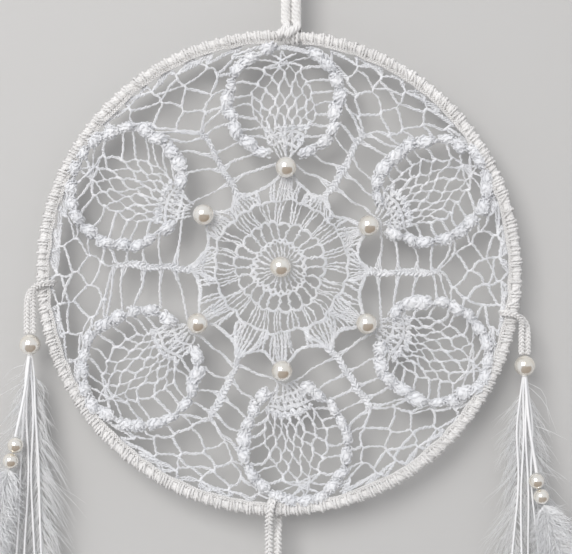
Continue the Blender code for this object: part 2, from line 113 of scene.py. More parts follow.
# The doily's own measures. Each leaf's border of popcorn stitches is an ellipse, open by
# BORDER_GAP radians each side of its pearl. The middle has RING_COUNT stitches in a ring.
LEAF_TURNS = (28.3, 88.3, 150.5, 214.4, 275.6, 333.1)
LEAF_REACHES = np.array((71.4, 71.0, 72.0, 69.6, 70.8, 71.8)) * MM
LEAF_HALF_WIDTHS = np.array((20.4, 23.4, 24.0, 23.5, 21.2, 20.4)) * MM
LEAF_HALF_LENGTHS = np.array((23.6, 22.6, 23.2, 24.0, 23.8, 22.8)) * MM
BORDER_GAP = 0.42
POPCORN_COUNT = 19
POPCORN_LENGTH = 7.2 * MM
POPCORN_RADIUS = 2.65 * MM
POPCORN_LOOPS = 28
HUB_REACH = 4.6 * MM
LOOP_RING_REACH = 10.8 * MM
INNER_RING_REACH = 18.0 * MM
OUTER_RING_REACH = 27.0 * MM
RING_COUNT = 24
SPOKE_REACH = 37.6 * MM
SPOKE_SPLIT = 67.0 * MM
SPOKE_FOOT_TURN = 13.5
RUNG_REACHES = np.arange(42.0, 72.0, 7.2) * MM
NET_REACH = 95.9 * MM
GAP_REACHES = (72.5 * MM, 79.0 * MM, 85.2 * MM, 90.8 * MM, NET_REACH)
GAP_COUNTS = (2, 3, 4, 6, 9)

# The rows at a leaf's foot and in its fan, in millimetres for a leaf of FAN_LENGTH:
# half width, distance from the pearl, number of stitches and arch.
FOOT_ROWS = ((3.0, 4.9, 5, 1.0), (5.6, 9.8, 7, 1.6), (7.8, 14.6, 8, 2.2))
FAN_ROWS = (
    (9.4, 19.2, 7, 2.4),
    (11.8, 23.6, 8, 2.4),
    (12.6, 28.4, 7, 2.4),
    (12.0, 33.6, 6, 2.4),
    (10.2, 39.2, 5, 2.4),
    (8.0, 44.6, 4, 2.4),
)
FAN_LENGTH = 54.0 * MM

# How handwork pulls the net: size, waves and share each way of the slow pulls, then
# size and waves of the fine ones.
PULLS = ((0.75 * MM, 230.0, (1.0, 0.4)), (0.5 * MM, 470.0, (-0.5, 1.0)))
FINE_PULLS = ((0.15 * MM, 2300.0), (0.09 * MM, 4300.0))

# The turn between neighbours that spreads points evenly round a shape.
GOLDEN_ANGLE = math.pi * (3.0 - math.sqrt(5.0))

# Thread sizes, and the steps in one turn of each kind of strand.
THREAD_RADIUS = 0.23 * MM
KNOT_HALF_LENGTH = 0.85 * MM
CHAIN_PITCH = 2.5 * MM
CHAIN_HALF_WIDTH = 0.46 * MM
PLAIT_STEPS = 7
TWIST_STEPS = 6
BRAID_STEPS = 9
CORD_STEP = 0.55 * MM
CORD_STRANDS = 6

# The hanging cord, doubled from the hitch up to the eye for the nail.
HANGER_RADIUS = 2.0 * MM
HANGER_SPACING = 4.3 * MM
HANGER_END = -59.378 * MM
EYE_HALF_WIDTH = 11.0 * MM

# Straps: the hoop's turn where each one is caught, how far it drops, and its side or spacing.
SIDE_STRAPS = {"left": (182.9, 20.0 * MM, -1.0), "right": (-10.2, 16.3 * MM, 1.0)}
LOWER_STRAP = (268.65, 24.0 * MM, 3.7 * MM)

# Pendants. Feathers: name, top and tip in millimetres sideways and up from the pearl, how
# far back they lie, and their half width.
STRAND_RADIUS = 0.6 * MM
STRAND_STARTS = np.array((-2.4, -0.8, 0.8, 2.4)) * MM
STRAND_ENDS = np.array((-7.0, -2.2, 2.8, 8.0)) * MM
STRAND_LENGTHS = np.array((112.0, 126.0, 121.0, 108.0)) * MM
STRAND_NARROWING = 0.72
STRING_FORWARD = -1.7 * MM
FEATHERS = (
    ("inner", (-1.0, -10.0), (-9.0, -124.0), 2.0 * MM, 11.0 * MM),
    ("outer", (1.0, -9.0), (8.0, -104.0), 3.6 * MM, 9.0 * MM),
)
BARB_CLUMPS = 105
CLUMP_BARBS = 5
WISP_COUNT = 46
PLUME_LENGTH = 74.0 * MM
PLUME_HALF_WIDTH = 13.0 * MM
PLUME_LEAN = 17.0
PLUME_ROWS = 1300
FLUFF_COUNT = 1900

# Camera, light and stage.
CAMERA_DISTANCE = 0.55
VIEW_WIDTH = 0.2364
VIEW_CENTRE = (-2.1 * MM, -163.65 * MM)
SENSOR_WIDTH = 36.0
WINDOW_PLACE = (-0.5, -1.3, 0.42)
WINDOW_SIZE = 0.9
WINDOW_POWER = 15.8
ROOM_STRENGTH = 0.66
WALL_BACK = 15.0 * MM
FAR_WALL_BACK = 170.0 * MM
REVEAL_DEPTH = 0.15
FLOOR_DROP = 0.75
WALL_COLOUR = (0.56, 0.555, 0.546)
FLOOR_COLOUR = (0.66, 0.655, 0.65)
WINDOW_COLOUR = (1.0, 0.985, 0.965)
ROOM_COLOUR = (0.93, 0.95, 1.0, 1.0)
FURNITURE_COLOUR = (0.26, 0.15, 0.06, 1.0)
FURNITURE_WAY = (0.22, -0.72, -0.66)
STAGE_WIDTH = 3.0

rng = np.random.default_rng(SEED)


def stray(size):
    """A random amount either side of nothing, of about this size."""
    return rng.normal(0.0, size)


# ---- Geometry helpers ----


def polar(turn, reach, forward=0.0):
    """The point of the hoop's plane at a turn and a reach."""
    angle = math.radians(turn)
    return HOOP_CENTRE + np.array((reach * math.cos(angle), -forward, reach * math.sin(angle)))


def turn_of(way):
    """The turn of a direction in the hoop's plane."""
    return math.degrees(math.atan2(way[2], way[0]))


def aside_of(way):
    """The direction in the hoop's plane that is a quarter turn on from another."""
    return np.array((-way[2], 0.0, way[0]))


def box_centre(node):
    """The middle of one of the frame's nodes."""
    low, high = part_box(node)
    return (np.array(low) + np.array(high)) / 2


def unit(vectors):
    """The vectors, each made one long."""
    return vectors / np.maximum(np.linalg.norm(vectors, axis=-1, keepdims=True), 1e-12)


def swung(first, second, angle):
    """The direction at an angle from the first of two square directions to the second."""
    return first * math.cos(angle) + second * math.sin(angle)


def wound(across, out, angles):
    """The directions at these angles round a path."""
    return across * np.cos(angles)[:, None] + out * np.sin(angles)[:, None]


def smooth(points, spacing):
    """A smooth curve through the points, read at even spacing."""
    points = np.asarray(points, float)
    ends = np.vstack((2 * points[0] - points[1], points, 2 * points[-1] - points[-2]))
    steps = 8
    t = (np.arange(steps) / steps)[:, None]
    parts = []
    for before, start, end, after in zip(ends, ends[1:], ends[2:], ends[3:]):
        parts.append(
            0.5
            * (
                2 * start
                + (end - before) * t
                + (2 * before - 5 * start + 4 * end - after) * t**2
                + (3 * start - before - 3 * end + after) * t**3
            )
        )
    dense = np.vstack((*parts, points[-1:]))
    along = np.concatenate(([0.0], np.cumsum(np.linalg.norm(np.diff(dense, axis=0), axis=1))))
    count = max(3, int(round(along[-1] / spacing)) + 1)
    wanted = np.linspace(0.0, along[-1], count)
    return np.stack([np.interp(wanted, along, dense[:, axis]) for axis in range(3)], axis=1)


def bowed(start, end, bow=0.0, lift=0.0):
    """Three points from start to end, the middle one moved aside by bow and forward by lift."""
    start = np.asarray(start, float)
    end = np.asarray(end, float)
    middle = (start + end) / 2 + aside_of(unit(end - start)) * bow - BACK * lift
    return np.array((start, middle, end))


def carried_frame(path):
    """Unit vectors across a path and out of it, turned as little as can be along it."""
    along = unit(np.gradient(path, axis=0))
    across = unit(np.cross(along[0], (0.0, 1.0, 0.0)))
    rows = []
    for way in along:
        across = unit(across - way * np.dot(across, way))
        rows.append(across)
    across = np.array(rows)
    return across, np.cross(across, along)


def side_frame(path, reference=BACK):
    """Unit vectors along a path, across it and out of its plane."""
    along = unit(np.gradient(path, axis=0))
    across = unit(np.cross(along, reference))
    return along, across, np.cross(across, along)


class Threads:
    """Collects tubes of thread, and makes one mesh of them."""

    def __init__(self):
        self.points = []
        self.quads = []
        self.count = 0

    def tube(self, path, radius, reference=BACK, sides=4, tip=0.5):
        """A round tube along a path. Its ends narrow to a share of its radius."""
        path = np.asarray(path, float)
        count = len(path)
        _, across, out = side_frame(path, reference)
        radii = np.full(count, 1.0) * radius
        radii[0] *= tip
        radii[-1] *= tip
        around = np.arange(sides) * math.tau / sides
        ring = (
            across[:, None, :] * np.cos(around)[None, :, None]
            + out[:, None, :] * np.sin(around)[None, :, None]
        )
        self.points.append((path[:, None, :] + ring * radii[:, None, None]).reshape(-1, 3))
        here = (np.arange(count - 1) * sides)[:, None] + np.arange(sides)[None, :]
        turn = (np.arange(count - 1) * sides)[:, None] + (np.arange(sides) + 1)[None, :] % sides
        quads = np.stack((here, here + sides, turn + sides, turn), axis=-1).reshape(-1, 4)
        self.quads.append(quads + self.count)
        self.count += count * sides

    def plait(self, path, half_width=CHAIN_HALF_WIDTH, pitch=CHAIN_PITCH, radius=THREAD_RADIUS):
        """A chain of stitches: three strands plaited flat along a path."""
        path = smooth(path, pitch / PLAIT_STEPS)
        _, across, out = side_frame(path)
        turns = np.arange(len(path)) / PLAIT_STEPS + rng.random()
        for strand in range(3):
            phase = math.tau * (turns + strand / 3)
            aside = across * (np.sin(phase) * half_width)[:, None]
            lift = out * (np.sin(2 * phase) * half_width * 0.75)[:, None]
            self.tube(path + aside + lift, radius)

    def twist(self, path, spread=0.27 * MM, pitch=2.1 * MM, radius=THREAD_RADIUS, count=2):
        """Strands of thread twisted about a path."""
        path = smooth(path, pitch / TWIST_STEPS)
        _, across, out = side_frame(path)
        turns = np.arange(len(path)) / TWIST_STEPS + rng.random()
        for strand in range(count):
            phase = math.tau * (turns + strand / count)
            self.tube(path + wound(across, out, phase) * spread, radius)

    def post(self, start, end, spread=0.32 * MM, radius=THREAD_RADIUS):
        """A tall stitch: two legs twisted together, with the thread wrapped round them."""
        bow = stray(0.3 * MM)
        path = smooth(bowed(start, end, bow, rng.normal(0.1 * MM, 0.2 * MM)), 0.55 * MM)
        along, across, out = side_frame(path)
        share = np.linspace(0.0, 1.0, len(path))
        length = np.linalg.norm(path[-1] - path[0])
        phase = math.tau * share * max(1.0, round(length / (3.0 * MM))) + rng.random() * math.tau
        size = spread * (0.5 + 0.6 * np.sin(math.pi * share))
        for way in (0.0, math.pi):
            aside = across * (np.cos(phase + way) * size)[:, None]
            self.tube(path + aside + out * (np.sin(phase + way) * size)[:, None], radius)
        here = len(path) // 2
        wraps = np.linspace(-1.0, 1.0, 9)
        turn = wraps * math.pi * 1.25
        centre = path[here] + along[here] * (wraps * min(0.8 * MM, length / 5))[:, None]
        half = spread * 1.35 + radius
        loop = across[here] * np.cos(turn)[:, None] * half - out[here] * np.sin(turn)[:, None] * half
        self.tube(centre + loop, radius * 0.85, reference=along[here])

    def braid(self, path, half_width, pitch, ply, frame=None, strands=3):
        """A flat plait whose strands are themselves twisted from two threads."""
        path = smooth(path, pitch / BRAID_STEPS)
        across, out = frame(path) if frame else side_frame(path)[1:]
        turns = np.arange(len(path)) / BRAID_STEPS + rng.random()
        for strand in range(strands):
            phase = math.tau * (turns + strand / strands)
            line = (
                path
                + across * (np.sin(phase) * half_width)[:, None]
                + out * (np.sin(2 * phase) * half_width * 0.62)[:, None]
            )
            for thread in (0.0, math.pi):
                roll = math.tau * turns * 2.5 + thread
                self.tube(line + wound(across, out, roll) * ply * 0.9, ply, reference=out)

    def make(self, name, body, finish, stand_for=(), warp=None):
        """One smooth mesh of every tube, riding on a body."""
        points = np.vstack(self.points)
        if warp is not None:
            points = warp(points)
        quads = np.vstack(self.quads)
        return add_quads(name, points, quads, body, finish, stand_for)


def add_quads(name, points, quads, body, finish, stand_for=()):
    """A smooth mesh piece from arrays of points and four-cornered faces."""
    mesh = bpy.data.meshes.new(name)
    mesh.vertices.add(len(points))
    mesh.vertices.foreach_set("co", points.astype(np.float32).ravel())
    mesh.loops.add(len(quads) * 4)
    mesh.loops.foreach_set("vertex_index", quads.astype(np.int32).ravel())
    mesh.polygons.add(len(quads))
    mesh.polygons.foreach_set("loop_start", np.arange(0, len(quads) * 4, 4, dtype=np.int32))
    mesh.update(calc_edges=True)
    mesh.shade_smooth()
    return add_piece(name, mesh, body, finish, stand_for)


def add_piece(name, data, body, finish, stand_for=()):
    """An object with one material, in place of the frame's own nodes. It rides on a body, if given."""
    piece = bpy.data.objects.new(name, data)
    bpy.context.collection.objects.link(piece)
    material, slot = finish
    data.materials.append(material)
    if body:
        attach(piece, body)
    if stand_for:
        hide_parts(*stand_for)
    return piece


def hand_warp(points):
    """The points of the net, moved a little the way that handwork pulls it."""
    flat = points - HOOP_CENTRE
    reach = np.hypot(flat[:, 0], flat[:, 2])
    strength = np.clip((NET_REACH - reach) / (9.0 * MM), 0.0, 1.0)
    moved = points.copy()
    for size, waves, push in PULLS:
        phase = flat[:, 0] * waves + flat[:, 2] * waves * 0.7
        cross = flat[:, 0] * waves * -0.8 + flat[:, 2] * waves
        moved[:, 0] += strength * size * np.sin(phase + 1.3) * push[0]
        moved[:, 2] += strength * size * np.cos(cross + 0.6) * push[1]
        moved[:, 1] += strength * size * 0.8 * np.sin(cross - phase)
    for size, waves in FINE_PULLS:
        phase = flat[:, 0] * waves + flat[:, 2] * waves * 0.3
        cross = flat[:, 2] * waves - flat[:, 0] * waves * 0.4
        moved[:, 0] += size * np.sin(cross + 2.0 * np.sin(phase * 0.37))
        moved[:, 2] += size * np.sin(phase + 2.0 * np.sin(cross * 0.41))
    return moved


# ---- Materials ----


def add_node(tree, kind, inputs=None, **settings):
    """A shader node with these inputs and settings."""
    node = tree.nodes.new(f"ShaderNode{kind}")
    for name, value in settings.items():
        setattr(node, name, value)
    for name, value in (inputs or {}).items():
        node.inputs[name].default_value = value
    return node


def add_ramp(tree, low, high):
    """A colour ramp between two stops, each a position and a colour."""
    ramp = add_node(tree, "ValToRGB")
    for stop, (position, colour) in zip(ramp.color_ramp.elements, (low, high), strict=True):
        stop.position = position
        stop.color = (*colour, 1.0)
    return ramp


def join(tree, *joints):
    """Link nodes: each joint says which output of a node feeds which input of another."""
    for source, output, target, name in joints:
        tree.links.new(source.outputs[output], target.inputs[name])


def new_material(name, colour, roughness, inputs):
    """A material with its Principled shader."""
    made = bpy.data.materials.new(name)
    made.use_nodes = True
    shader = made.node_tree.nodes["Principled BSDF"]
    shader.inputs["Base Color"].default_value = (*colour, 1.0)
    shader.inputs["Roughness"].default_value = roughness
    for key, value in inputs.items():
        shader.inputs[key].default_value = value
    return made, shader


def grained(name, colour, roughness, inputs, tones, scales, strength, stretch=(1.0, 1.0, 1.0)):
    """A material whose colour drifts between two tones, with a fine bump, both from noise."""
    made, shader = new_material(name, colour, roughness, inputs)
    tree = made.node_tree
    where = add_node(tree, "TexCoord")
    drift = add_node(tree, "TexNoise", {"Scale": scales[0], "Detail": 3.0})
    ramp = add_ramp(tree, (0.35, tones[0]), (0.65, tones[1]))
    place = add_node(tree, "Mapping", {"Scale": stretch})
    fibres = add_node(tree, "TexNoise", {"Scale": scales[1], "Detail": 2.0})
    bump = add_node(tree, "Bump", {"Strength": strength, "Distance": 0.1 * MM})
    join(
        tree,
        (where, "Object", drift, "Vector"),
        (drift, "Fac", ramp, "Fac"),
        (ramp, "Color", shader, "Base Color"),
        (where, "Object", place, "Vector"),
        (place, "Vector", fibres, "Vector"),
        (fibres, "Fac", bump, "Height"),
        (bump, "Normal", shader, "Normal"),
    )
    return made


def cotton_material(name, low, high):
    """Matt cotton thread."""
    inputs = {"Sheen Weight": 0.25, "Sheen Roughness": 0.6, "Specular IOR Level": 0.3}
    return grained(name, high, 0.88, inputs, (low, high), (90.0, 5200.0), 0.55)


def pearl_material():
    """Cream imitation pearl with a clear coat."""
    inputs = {"Metallic": 0.64, "Coat Weight": 0.9, "Coat Roughness": 0.06}
    tones = ((0.88, 0.83, 0.74), (0.95, 0.93, 0.88))
    return grained("nacre", (0.86, 0.81, 0.71), 0.13, inputs, tones, (170.0, 900.0), 0.03)


def satin_material():
    """Shiny satin thread."""
    tones = ((0.84, 0.85, 0.86), (0.93, 0.93, 0.93))
    inputs = {"Sheen Weight": 0.3}
    return grained("satin", (0.90, 0.90, 0.90), 0.38, inputs, tones, (120.0, 2600.0), 0.3, (1.0, 1.0, 0.15))


def feather_material():
    """Soft white feather barbs."""
    inputs = {"Sheen Weight": 0.9, "Sheen Roughness": 0.8}
    tones = ((0.93, 0.94, 0.955), (0.98, 0.98, 0.98))
    return grained("down", (0.97, 0.97, 0.975), 0.7, inputs, tones, (70.0, 3000.0), 0.15)


def wire_material():
    """The steel ring inside the wrap."""
    tones = ((0.50, 0.51, 0.53), (0.62, 0.62, 0.64))
    return grained("wire", (0.56, 0.57, 0.59), 0.35, {"Metallic": 1.0}, tones, (60.0, 1400.0), 0.1)


# ---- The hoop's rim ----


def rim_helix(threads, start, sweep, pitch, wrap_radius, ply):
    """Two-ply thread wound round the rim from one turn of the hoop over a sweep of it."""
    coils = abs(math.radians(sweep)) * RIM_LINE_RADIUS / pitch
    count = max(6, int(coils * COIL_POINTS))
    share = np.linspace(0.0, 1.0, count)
    around = math.tau * coils * share
    coil = np.floor(coils * share).astype(int)
    uneven = rng.normal(0.0, 1.0, (2, coil[-1] + 2))
    blend = (coils * share) % 1.0
    wander = uneven[:, coil] * (1.0 - blend) + uneven[:, coil + 1] * blend
    angle = np.radians(start + sweep * share) + wander[0] * 0.16 * MM / RIM_LINE_RADIUS
    radius = wrap_radius + wander[1] * 0.11 * MM
    along = np.stack((-np.sin(angle), np.zeros(count), np.cos(angle)), axis=1)
    outward = np.stack((np.cos(angle), np.zeros(count), np.sin(angle)), axis=1)
    lift = wound(outward, BACK, around)
    path = HOOP_CENTRE + outward * RIM_LINE_RADIUS + lift * radius[:, None]
    roll = math.tau * np.arange(count) / COIL_POINTS * 4.3
    for thread in (0.0, math.pi):
        threads.tube(path + wound(lift, along, roll + thread) * ply * 0.85, ply, reference=along)


def make_rim(finish):
    """The close thread turns round the ring, in two halves, each over a smooth core."""
    for part, start in enumerate((HITCH_TURN, HITCH_TURN + 180.0), 1):
        threads = Threads()
        rim_helix(threads, start, 180.0, WRAP_PITCH, RIM_RADIUS - 0.5 * MM, WRAP_PLY)
        core = [polar(turn, RIM_LINE_RADIUS) for turn in np.linspace(start, start + 180.0, 120)]
        threads.tube(core, RIM_RADIUS - 0.3 * MM, sides=14, tip=1.0)
        threads.make(f"rim_wrap_{part}", "hoop", finish, ("hoop_wrap",) if part == 1 else ())


def make_rim_stitches(finish):
    """The thicker crochet stitches where the net is worked onto the rim."""
    threads = Threads()
    turn = 0.0
    while turn < 359.0:
        width = 1.0 + rng.random() * 0.9
        if abs((turn + width / 2) % 360.0 - HITCH_TURN) > HITCH_CLEAR_STITCH:
            rim_helix(threads, turn, width, WRAP_PITCH, RIM_RADIUS + 0.1 * MM, WRAP_PLY)
        turn += STITCH_SPACING + stray(0.4)
    threads.make("rim_stitches", "hoop", finish)


def make_rim_chain(finish):
    """The base chain along the inside of the rim, and the small stitches that tie it down."""
    threads = Threads()
    first = HITCH_TURN + HITCH_CLEAR_TURN
    last = HITCH_TURN + 360.0 - HITCH_CLEAR_TURN
    ends = np.linspace(first, last, CHAIN_PARTS + 1)
    for start, end in zip(ends, ends[1:]):
        turns = np.linspace(start, end + 0.4, 14)
        path = [polar(turn, NET_REACH - rng.random() * 0.8 * MM, 1.1 * MM) for turn in turns]
        threads.braid(path, 0.6 * MM, 3.4 * MM, 0.22 * MM)
    for turn in np.arange(first, last, TIE_SPACING):
        turn = turn + stray(0.5)
        lean = rng.normal(0.9, 0.7)
        foot = polar(turn, NET_REACH - 0.6 * MM, 1.2 * MM)
        middle = polar(turn + lean * 0.5, RIM_LINE_RADIUS - 0.4 * MM, RIM_RADIUS + 0.35 * MM)
        top = polar(turn + lean, RIM_LINE_RADIUS + 1.7 * MM, 1.0 * MM)
        threads.twist(np.array((foot, middle, top)), 0.26 * MM, 1.9 * MM, 0.25 * MM)
    threads.make("rim_chain", "hoop", finish)


# ---- The doily ----


class Leaf:
    """One leaf of the doily: its pearl, and the ellipse of its popcorn border beyond it."""

    def __init__(self, number):
        self.turn = LEAF_TURNS[number]
        self.pearl = polar(MOTIF_PEARL_TURNS[number], MOTIF_PEARL_REACHES[number])
        self.half_width = LEAF_HALF_WIDTHS[number]
        self.half_length = LEAF_HALF_LENGTHS[number]
        centre = polar(self.turn, LEAF_REACHES[number])
        self.forward = unit(centre - self.pearl)
        self.aside = aside_of(self.forward)
        self.centre = float(np.linalg.norm(centre - self.pearl))
        self.length = self.centre + self.half_length

    def place(self, aside, along, lift=0.0):
        """A point by its distance to the left of the leaf's middle line and from its pearl."""
        return self.pearl + self.forward * along + self.aside * aside - BACK * lift

    def border(self, angle, out=0.0, lift=0.0):
        """A point of the border, by its angle round the ellipse from the pearl's end."""
        return self.place(
            (self.half_width + out) * math.sin(angle),
            self.centre - (self.half_length + out) * math.cos(angle),
            lift,
        )

    def flank(self, hand, reach, out=0.0):
        """The border's point on one side at a reach from the hoop's centre."""
        angles = np.linspace(0.0, math.pi, 60)
        reaches = [np.linalg.norm(self.border(angle, out) - HOOP_CENTRE) for angle in angles]
        return self.border(hand * float(np.interp(reach, reaches, angles)), out)


def popcorn(threads, centre, along, length, radius):
    """A plump stitch: a full core under short loops of thread that cross in every direction."""
    aside = aside_of(along)
    share = np.linspace(0.0, 1.0, 9)
    swell = np.sin(math.pi * np.clip(share, 0.06, 0.94)) ** 0.7
    line = centre + along * ((share - 0.5) * length)[:, None]
    threads.tube(line, radius * 0.86 * swell, sides=8, tip=1.0)
    for index in range(POPCORN_LOOPS):
        place = -0.44 + 0.88 * (index + 0.5) / POPCORN_LOOPS
        angle = index * GOLDEN_ANGLE
        size = radius * (0.8 + rng.uniform(0.0, 0.12)) * math.cos(place * 2.3) ** 0.55
        normal = swung(aside, -BACK, angle)
        way = swung(along, swung(-BACK, -aside, angle), stray(0.9))
        half = rng.uniform(0.9, 1.4) * MM
        middle = centre + along * (place * length) + normal * size
        foot = normal * 0.5 * MM
        loop = [middle - way * half - foot, middle + normal * 0.2 * MM, middle + way * half - foot]
        threads.twist(loop, 0.22 * MM, 1.9 * MM, 0.22 * MM)


def make_popcorns(leaf, number, finish):
    """The popcorn border of a leaf, and the chain that its stitches sit on."""
    threads = Threads()
    hitch = polar(HITCH_TURN, RIM_LINE_RADIUS)
    for angle in np.linspace(BORDER_GAP, math.tau - BORDER_GAP, POPCORN_COUNT):
        angle = angle + stray(0.03)
        centre = leaf.border(angle, stray(0.35 * MM), 0.5 * MM)
        if np.linalg.norm(centre - hitch) < HITCH_CLEAR_REACH:
            continue
        ahead = unit(leaf.border(angle + 0.08) - leaf.border(angle - 0.08))
        ahead = swung(ahead, aside_of(ahead), stray(0.16))
        scale = 0.92 + 0.16 * rng.random()
        popcorn(threads, centre, ahead, POPCORN_LENGTH * scale, POPCORN_RADIUS * scale)
    angles = np.linspace(BORDER_GAP, math.tau - BORDER_GAP, 40)
    threads.braid([leaf.border(angle, -0.4 * MM) for angle in angles], 0.75 * MM, 2.8 * MM, 0.27 * MM)
    threads.make(f"popcorns_{number + 1}", "hoop", finish, warp=hand_warp)


def net_between(threads, low, high, origin, chain):
    """Strands that join two rows of points: each point to its two neighbours in the other row."""
    if len(high) == len(low) - 1:
        pairs = {(index + side, index) for index in range(len(high)) for side in (0, 1)}
    elif len(high) == len(low) + 1:
        pairs = {(index, index + side) for index in range(len(low)) for side in (0, 1)}
    else:
        pairs = set()
        for index in range(len(high)):
            share = index / max(1, len(high) - 1) * (len(low) - 1)
            pairs |= {(int(math.floor(share + 0.01)), index), (int(math.ceil(share - 0.01)), index)}
        for index in range(len(low)):
            share = index / max(1, len(low) - 1) * (len(high) - 1)
            pairs.add((index, int(round(share))))
    for foot, top in sorted(pairs):
        start = low[foot] + unit(low[foot] - origin) * KNOT_HALF_LENGTH
        end = high[top] - unit(high[top] - origin) * KNOT_HALF_LENGTH
        chain(threads, start, end)


def fine_chain(threads, start, end):
    """A thin twisted strand of the net."""
    path = bowed(start, end, stray(0.35 * MM), stray(0.25 * MM))
    threads.twist(path, 0.29 * MM, 2.1 * MM, 0.21 * MM)


def stout_chain(threads, start, end):
    """A stouter twisted strand of the net."""
    path = bowed(start, end, stray(0.5 * MM), rng.normal(0.1 * MM, 0.25 * MM))
    threads.twist(path, 0.34 * MM, 2.2 * MM, 0.25 * MM)


def cluster(threads, start, end):
    """Tall stitches side by side, worked from one point onto the rim."""
    aside = aside_of(unit(end - start))
    for place in (-0.9 * MM, 0.0, 0.9 * MM)[: rng.integers(2, 4)]:
        threads.post(start, end + aside * place)


def knot(threads, centre, origin):
    """The short stitch that holds together the strands that meet at a point of the net."""
    half = unit(centre - origin) * KNOT_HALF_LENGTH * 1.15
    threads.twist((centre - half, centre, centre + half), 0.34 * MM, 1.5 * MM, 0.27 * MM, 3)


def make_leaf(leaf, number, finish):
    """The fan of stitches inside a leaf, and its ties to the popcorn border."""
    threads = Threads()
    base, shells, loops = [leaf_row(leaf, *row) for row in FOOT_ROWS]
    for index, point in enumerate(shells):
        threads.post(base[min(4, int(index * 5 / 7))], point)
    for index, point in enumerate(loops):
        threads.post(shells[min(6, index)], point)
        threads.post(shells[max(0, index - 1)], point)
    threads.plait(shells, half_width=0.5 * MM, pitch=2.2 * MM, radius=0.24 * MM)
    threads.plait(loops, half_width=0.55 * MM, pitch=2.2 * MM, radius=0.24 * MM)
    rows = [leaf_row(leaf, *row) for row in FAN_ROWS]
    net_between(threads, loops, rows[0], leaf.pearl, cluster)
    for low, high in zip(rows, rows[1:]):
        net_between(threads, low, high, leaf.pearl, fine_chain)
    tip = [leaf.border(math.pi + angle, -1.0 * MM) for angle in (-0.56, -0.28, 0.0, 0.28, 0.56)]
    net_between(threads, rows[-1], tip, leaf.pearl, fine_chain)
    for row in rows:
        for point in row:
            knot(threads, point, leaf.pearl)
    for row in [loops, *rows]:
        for hand, point in ((-1.0, row[0]), (1.0, row[-1])):
            reach = np.linalg.norm(point - HOOP_CENTRE)
            end = leaf.flank(hand, reach + rng.normal(1.0 * MM, 0.6 * MM), -1.4 * MM)
            stout_chain(threads, point, end)
    threads.make(f"leaf_{number + 1}", "hoop", finish, warp=hand_warp)


def leaf_row(leaf, half_width, distance, count, arch):
    """A row of points across a leaf, bent away from its pearl in the middle by arch."""
    along = distance * MM * (leaf.length / FAN_LENGTH)
    row = []
    for share in np.linspace(-1.0, 1.0, count):
        aside = half_width * MM * share + stray(0.25 * MM)
        bend = arch * MM * (0.6 - share * share)
        row.append(leaf.place(aside, along + bend + stray(0.25 * MM)))
    return row


def hub_point(turn, reach, lift=0.0):
    """A point by its turn and its distance from the middle pearl."""
    return polar(turn, reach, lift) + HUB_PLACE


def arches(threads, reach, rise, half_width, radius):
    """A round of chain arches about the middle, each one bowed outwards between its feet."""
    step = 360.0 / RING_COUNT
    for index in range(RING_COUNT):
        start = index * step
        path = [
            hub_point(start + step * share, reach + rise * math.sin(math.pi * share), 0.2 * MM)
            for share in np.linspace(0.0, 1.0, 5)
        ]
        threads.plait(path, half_width, 2.2 * MM, radius)


def make_medallion(leaves, finish):
    """The round middle: arches of chain joined by tall stitches, out to the leaves and spokes."""
    threads = Threads()
    step = 360.0 / RING_COUNT
    for index in range(RING_COUNT):
        turn = step * index + stray(0.9)
        lean = stray(1.2)
        loop = hub_point(turn + lean, LOOP_RING_REACH - 1.6 * MM)
        threads.post(hub_point(turn, HUB_REACH), loop, 0.16 * MM)
        loop = hub_point(turn + lean, LOOP_RING_REACH + 0.9 * MM)
        threads.post(loop, hub_point(turn, INNER_RING_REACH - 0.4 * MM))
        for way in (-0.26, 0.0, 0.26):
            foot = hub_point(turn + step * way * 0.7, INNER_RING_REACH + 0.3 * MM)
            top = hub_point(turn + step * way + lean, OUTER_RING_REACH)
            threads.post(foot, top, 0.2 * MM, 0.19 * MM)
    for reach, rise, half_width in (
        (LOOP_RING_REACH - 1.6 * MM, 1.5 * MM, 0.34 * MM),
        (LOOP_RING_REACH + 1.2 * MM, -1.2 * MM, 0.34 * MM),
        (INNER_RING_REACH - 0.6 * MM, 1.3 * MM, 0.42 * MM),
        (OUTER_RING_REACH - 0.3 * MM, 1.0 * MM, 0.42 * MM),
    ):
        arches(threads, reach, rise, half_width, 0.21 * MM)
    for turn in SPOKE_TURNS:
        apex = polar(turn, SPOKE_REACH)
        side = aside_of(polar(turn, 1.0) - HOOP_CENTRE)
        for way in np.linspace(-SPOKE_FOOT_TURN, SPOKE_FOOT_TURN, 7):
            foot = hub_point(turn + way, OUTER_RING_REACH)
            threads.post(foot, apex + side * way * 0.12 * MM, 0.26 * MM)
        for hand in (-1.0, 1.0):
            foot = hub_point(turn + hand * SPOKE_FOOT_TURN, OUTER_RING_REACH)
            shoulder = hub_point(turn + hand * 11.5, 31.5 * MM)
            threads.plait([foot, shoulder, apex - BACK * 0.3 * MM], 0.45 * MM)
    for leaf in leaves:
        turn = turn_of(leaf.pearl - HOOP_CENTRE - HUB_PLACE)
        for way in (-7.0, -4.2, -1.4, 1.4, 4.2, 7.0):
            threads.post(hub_point(turn + way, OUTER_RING_REACH), leaf.place(way * 0.25 * MM, -3.6 * MM))
    for number, leaf in enumerate(leaves):
        for hand, spoke in ((1.0, SPOKE_TURNS[number]), (-1.0, SPOKE_TURNS[number - 1])):
            outer_arc(threads, leaf, hand, polar(spoke, SPOKE_REACH - 1.5 * MM))
    threads.make("medallion", "hoop", finish, ("doily",), warp=hand_warp)


